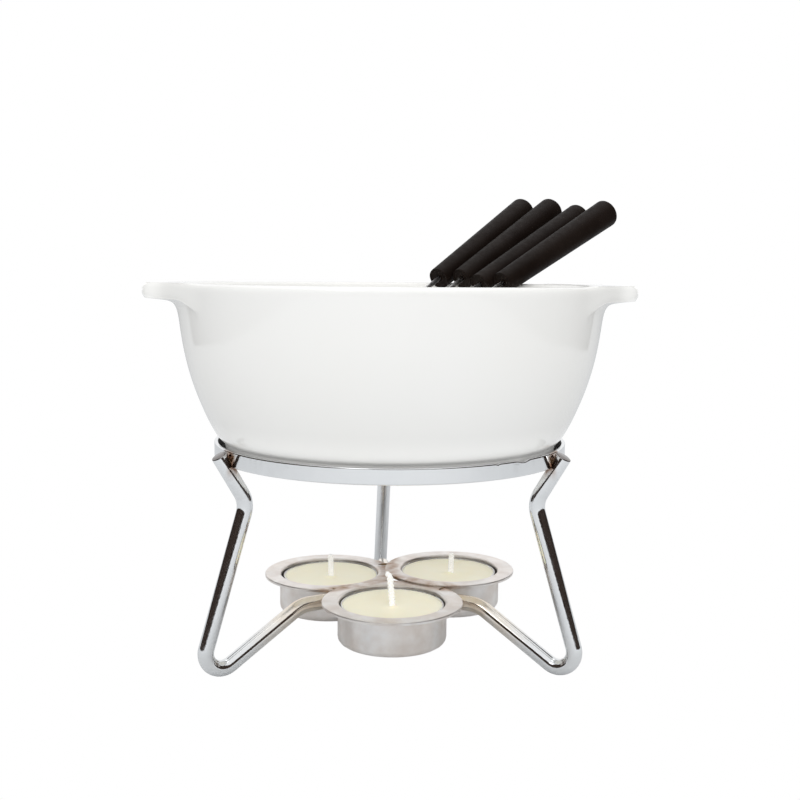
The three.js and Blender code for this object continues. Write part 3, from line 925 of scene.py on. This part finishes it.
def make_wick(name, matrix, fray):
    """Three strands braided flat, leaning the way the plain wick does and loosened at the top."""
    centre = matrix.translation
    start = (WAX_TOP - WAX_DIP - 0.4) * MM
    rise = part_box(f"wick_{name}")[1].z - centre.z - start + WICK_TALLER[name] * MM
    lean = wick_lean(name, centre.x - (CUP_SHIFT + TEALIGHT_SLIP[name]) * MM)
    mesh = bmesh.new()
    for strand in range(STRANDS):
        loop = bmesh.ops.create_circle(mesh, cap_ends=True, segments=10, radius=STRAND_THICK * MM)["verts"]
        here = Vector((0, 0, 0))
        for k in range(WICK_STATIONS + 1):
            share = k / WICK_STATIONS
            phase = 2 * pi * (share * BRAID_TURNS + strand / STRANDS)
            loose = max(0.0, share - FRAY_FROM) * fray
            wide = (BRAID_WIDE * sin(phase) + loose * (strand - 1.6)) * MM
            deep = BRAID_DEEP * sin(2 * phase) * MM
            spine = Vector((lean * share ** 1.6, 0, start + rise * share - abs(loose) * 0.35 * MM))
            there = spine + Vector((wide, deep, 0))
            if k == 0:
                bmesh.ops.translate(mesh, vec=there, verts=loop)
            else:
                loop = carried_loop(mesh, loop, there - here, 1.0 if share < 0.93 else 0.8)
            here = there
    bmesh.ops.recalc_face_normals(mesh, faces=mesh.faces)
    foot = centre + Vector((WICK_ASIDE[name] * MM, 0, 0))
    bmesh.ops.transform(mesh, matrix=Matrix.Translation(foot), verts=mesh.verts)
    body = f"tealight_{name}"
    return finish_piece(f"braided_wick_{name}", mesh, cotton, body, [f"wick_{name}"])


# %% Place the tealights
WICK_FRAY = {"left": 0.8, "front": 5.5, "right": 0.8}
TEALIGHT_SLIP = {"left": 0.40, "front": 0.0, "right": -0.40}
WICK_ASIDE = {"left": 0.1, "front": 0.0, "right": 1.1}
WICK_TALLER = {"left": -1.7, "front": 2.3, "right": -2.5}

for number, (name, turn) in enumerate(CUP_TURNS.items()):
    shell_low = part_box(f"tealight_shell_{name}")[0]
    angle = radians(turn)
    spot = AXIS + Vector((cos(angle), sin(angle), 0)) * CUP_SPREAD * MM
    place = Matrix.Translation((spot.x + (CUP_SHIFT + TEALIGHT_SLIP[name]) * MM, spot.y, shell_low.z))
    make_shell(name, place)
    make_wax(name, place, number)
    make_wick(name, place, WICK_FRAY[name])
print("tealights:", list(CUP_TURNS))

# %% [markdown]
# ## Forks
# A fork is a moulded black grip on a long steel wire. The grip is a cone that is widest at the far
# end, where it is domed; at the near end it is cut square with a fine moulding line round the edge.
# Both pieces are made upright and then laid along the plain fork's own axis, which its joint gives.


# %% Fork finishes
def grip_finish():
    finish = Finish("black_grip", (0.008, 0.006, 0.005), 0.46)
    finish.shader.inputs["Specular IOR Level"].default_value = 0.07
    finish.colour(finish.blend(finish.uneven(50, 0, 1), (0.0070, 0.0040, 0.0028), (0.0120, 0.0078, 0.0060)))
    finish.roughness(finish.uneven(420, 0.40, 0.58))
    finish.bump(finish.uneven(1100, 0, 1, detail=2), 0.12, 0.0001)
    return finish.material


def wire_finish():
    finish = Finish("polished_wire", (0.86, 0.86, 0.86), 0.36, 1.0)
    finish.colour(finish.blend(finish.uneven(90, 0, 1), (0.82, 0.81, 0.80), (0.92, 0.91, 0.90)))
    finish.roughness(finish.uneven(600, 0.28, 0.44))
    finish.bump(finish.uneven(800, 0, 1), 0.08, 0.0001)
    return finish.material


grip = grip_finish()
wire = wire_finish()

# %% Fork sizes
GRIP_LONG = 71.0
GRIP_LOW = 4.7
GRIP_HIGH = 6.1
WIRE = 1.0
IN_GRIP = 6.0
MOUTH_PLAY = 0.15
FACE_DEPTH = 0.3
TINE_LONG = 24.0
TINE_SIDE = 2.4
TINE_THICK = 0.8
draw_axes = {joint["child"]: Vector(joint["axis"]) for joint in frame["joints"]}


# %% Fork pieces
def fork_place(number):
    """Along the fork from the tines, with its flat side upright, ending where the plain grip does."""
    along = draw_axes[f"fork_{number}"].normalized()
    level = Vector((0, 0, 1)).cross(along).normalized()
    above = along.cross(level)
    turn = Matrix((above, -level, along)).transposed().to_4x4()
    node = frame["nodes"][f"fork_handle_{number}"]
    middle = sum((v.co for v in node.data.vertices), Vector()) / len(node.data.vertices)
    reach = [v.co.dot(along) for v in node.data.vertices]
    centre = middle - along * middle.dot(along)
    return Matrix.Translation(centre + along * min(reach)) @ turn


def make_grip(number, matrix):
    mouth = WIRE + MOUTH_PLAY
    outline = rounded([
        (0, IN_GRIP), (mouth, IN_GRIP), (mouth, FACE_DEPTH, 0.1), (GRIP_LOW - 0.55, FACE_DEPTH, 0.12),
        (GRIP_LOW - 0.4, 0, 0.1), (GRIP_LOW - 0.1, 0.05, 0.1), (GRIP_LOW, 0.5, 0.2),
        (GRIP_HIGH, GRIP_LONG, 1.7), (0, GRIP_LONG + 0.05),
    ], steps=6)
    mesh = turned(outline, 64)
    bmesh.ops.transform(mesh, matrix=matrix, verts=mesh.verts)
    body = f"fork_{number}"
    return finish_piece(f"grip_{number}", mesh, grip, body, [f"fork_handle_{number}"])


def make_wire(number, matrix, start):
    """One wire that is split into two tines at its end."""
    mesh = turned(rounded([(0, -start + TINE_LONG - 3), (WIRE, -start + TINE_LONG - 3, 0.3),
                           (WIRE, IN_GRIP), (0, IN_GRIP)]), 24)
    for side in (-1, 1):
        line = [(0, -start + TINE_LONG - 1), (side * TINE_SIDE, -start + TINE_LONG - 6, 3),
                (side * TINE_SIDE, -start)]
        tine = bent_rod(line, TINE_THICK, 16, bend_step=9, chamfer=0.5)
        data = bpy.data.meshes.new("tine")
        tine.to_mesh(data)
        tine.free()
        mesh.from_mesh(data)
        bpy.data.meshes.remove(data)
    bmesh.ops.transform(mesh, matrix=matrix, verts=mesh.verts)
    body = f"fork_{number}"
    return finish_piece(f"wire_{number}", mesh, wire, body, [f"fork_shaft_{number}"])


def wire_start(number):
    """How far the tines' tips are from the lower end of the grip, measured along the fork."""
    along = draw_axes[f"fork_{number}"].normalized()
    tips = min(v.co.dot(along) for v in frame["nodes"][f"fork_shaft_{number}"].data.vertices)
    grip_end = min(v.co.dot(along) for v in frame["nodes"][f"fork_handle_{number}"].data.vertices)
    return (grip_end - tips) / MM


for number in range(1, 5):
    matrix = fork_place(number)
    make_grip(number, matrix)
    make_wire(number, matrix, wire_start(number))
print("forks laid along", [[round(c, 3) for c in draw_axes[f"fork_{n}"]] for n in range(1, 5)])

# %% [markdown]
# ## Wick tabs
# The thin tin discs under the wax keep their plain shape. They only need a metal finish.

# %% Wick tabs
tab_metal = Finish("tinned_sheet", (0.7, 0.7, 0.69), 0.35, 1.0)
tab_metal.colour(tab_metal.blend(tab_metal.uneven(300, 0, 1), (0.62, 0.62, 0.61), (0.74, 0.74, 0.73)))
tab_metal.roughness(tab_metal.uneven(400, 0.28, 0.42))
for name in CUP_TURNS:
    tab = frame["nodes"][f"wick_tab_{name}"]
    tab.data.materials.clear()
    tab.data.materials.append(tab_metal.material)
print("tabs finished")

# %% [markdown]
# ## Studio
# White ware is shot against white, so the floor and the sky are pure white where the camera sees
# them. Metal is another matter, because it shows what is round it. Three tall dark flags stand
# to the left, to the right and behind the camera. They are seen in reflections only, where they draw
# the dark stripes that make a bright rod look round. The floor stays light in reflections. Most of
# the light is the sky's own. A key in front, a low one and two at the sides fill in what it leaves
# grey, and they are kept out of reflections so that only one soft window shows in the glaze.


# %% Floor
FLOOR_SIDE = 8.0
FLOOR_DROP = 0.0005


def floor_finish():
    material = bpy.data.materials.new("pale_floor")
    material.use_nodes = True
    nodes, links = material.node_tree.nodes, material.node_tree.links
    nodes.remove(nodes["Principled BSDF"])
    matte = nodes.new("ShaderNodeBsdfDiffuse")
    matte.inputs["Color"].default_value = (0.70, 0.71, 0.72, 1)
    seen_direct = nodes.new("ShaderNodeEmission")
    seen_direct.inputs["Color"].default_value = (1, 1, 1, 1)
    ray = nodes.new("ShaderNodeLightPath")
    final = nodes.new("ShaderNodeMixShader")
    links.new(ray.outputs["Is Camera Ray"], final.inputs["Fac"])
    links.new(matte.outputs[0], final.inputs[1])
    links.new(seen_direct.outputs[0], final.inputs[2])
    links.new(final.outputs[0], nodes["Material Output"].inputs["Surface"])
    return material


def add_sheet(name, size, matrix, material):
    """A flat sheet of a width and a depth, carried to its place by a matrix."""
    mesh = bmesh.new()
    bmesh.ops.create_grid(mesh, x_segments=1, y_segments=1, size=0.5)
    bmesh.ops.scale(mesh, vec=(size[0], size[1], 1), verts=mesh.verts)
    bmesh.ops.transform(mesh, matrix=matrix, verts=mesh.verts)
    data = bpy.data.meshes.new(name)
    mesh.to_mesh(data)
    mesh.free()
    data.materials.append(material)
    sheet = bpy.data.objects.new(name, data)
    bpy.context.collection.objects.link(sheet)
    return sheet


floor_place = Matrix.Translation((AXIS.x, AXIS.y, -FLOOR_DROP))
add_sheet("floor", (FLOOR_SIDE, FLOOR_SIDE), floor_place, floor_finish())


# %% Dark flags
FLAG_TALL = 0.75
FLAG_OUT = 0.55
FLAG_FRONT = -1.3
FLAG_BACK = 0.45


def flag_finish():
    material = bpy.data.materials.new("dark_flag")
    material.use_nodes = True
    shader = material.node_tree.nodes["Principled BSDF"]
    shader.inputs["Base Color"].default_value = (0.042, 0.031, 0.026, 1)
    shader.inputs["Roughness"].default_value = 0.9
    shader.inputs["Specular IOR Level"].default_value = 0.0
    return material


def add_flag(name, middle, width, turn):
    matrix = (Matrix.Translation(AXIS + Vector(middle)) @ Matrix.Rotation(radians(turn), 4, "Z")
              @ Matrix.Rotation(pi / 2, 4, "X"))
    flag = add_sheet(name, (width, FLAG_TALL), matrix, flag_black)
    flag.visible_camera = False
    flag.visible_diffuse = False
    flag.visible_shadow = False
    return flag


flag_black = flag_finish()
middle_y = (FLAG_FRONT + FLAG_BACK) / 2
add_flag("flag_left", (-FLAG_OUT, middle_y, FLAG_TALL / 2), FLAG_BACK - FLAG_FRONT, 90)
add_flag("flag_right", (FLAG_OUT, middle_y, FLAG_TALL / 2), FLAG_BACK - FLAG_FRONT, 90)
add_flag("flag_front", (0, FLAG_FRONT, FLAG_TALL / 2), 2 * FLAG_OUT, 0)
print("flags stand", FLAG_OUT, "m to each side")


# %% Sky
SKY_SEEN = 1.0
SKY_LIGHT = 0.735
SKY_MIRRORED = 0.95


def sky_part(nodes, colour, strength):
    part = nodes.new("ShaderNodeBackground")
    part.inputs["Color"].default_value = (*colour, 1)
    part.inputs["Strength"].default_value = strength
    return part.outputs[0]


def add_sky():
    """White where the camera sees it, softer as a light, and bright in reflections."""
    world = bpy.data.worlds.new("sky")
    bpy.context.scene.world = world
    world.use_nodes = True
    nodes, links = world.node_tree.nodes, world.node_tree.links
    ray = nodes.new("ShaderNodeLightPath")
    light = sky_part(nodes, (0.985, 0.99, 1.0), SKY_LIGHT)
    for label, part in (("Is Glossy Ray", sky_part(nodes, (0.985, 0.99, 1.0), SKY_MIRRORED)),
                        ("Is Camera Ray", sky_part(nodes, (1, 1, 1), SKY_SEEN))):
        mixed = nodes.new("ShaderNodeMixShader")
        links.new(ray.outputs[label], mixed.inputs["Fac"])
        links.new(light, mixed.inputs[1])
        links.new(part, mixed.inputs[2])
        light = mixed.outputs[0]
    links.new(light, nodes["World Output"].inputs["Surface"])
    return world


add_sky()


# %% Lights
# name: place, height aimed at, width and depth in metres, watts, seen in reflections
LIGHTS = {
    "window": ((-0.45, -0.90, 0.85), 0.12, (0.40, 0.40), 0.9, True),
    "above": ((0.0, 0.1, 1.3), 0.1, (1.0, 1.0), 3.4, True),
    "key": ((0.02, -0.95, 0.80), 0.10, (0.5, 0.5), 2.55, False),
    "low_front": ((0.15, -1.15, 0.34), 0.05, (1.1, 0.4), 1.7, False),
    "side_left": ((-1.1, -0.20, 0.40), 0.11, (0.5, 0.5), 0.8, False),
    "side_right": ((1.1, -0.20, 0.40), 0.11, (0.5, 0.5), 0.65, False),
}


def add_soft_light(name, place, aimed_up, size, watts, mirrored):
    data = bpy.data.lights.new(name, "AREA")
    data.shape = "RECTANGLE"
    data.size, data.size_y = size
    data.energy = watts
    light = bpy.data.objects.new(name, data)
    light.location = AXIS + Vector(place)
    aim = AXIS + Vector((0, 0, aimed_up)) - light.location
    light.rotation_euler = aim.to_track_quat("-Z", "Y").to_euler()
    light.visible_glossy = mirrored
    bpy.context.collection.objects.link(light)


for name, values in LIGHTS.items():
    add_soft_light(name, *values)
bpy.context.scene.view_settings.view_transform = "Standard"
print("lights:", list(LIGHTS))

# %% Pieces made
print("pieces made:", len(made_pieces))
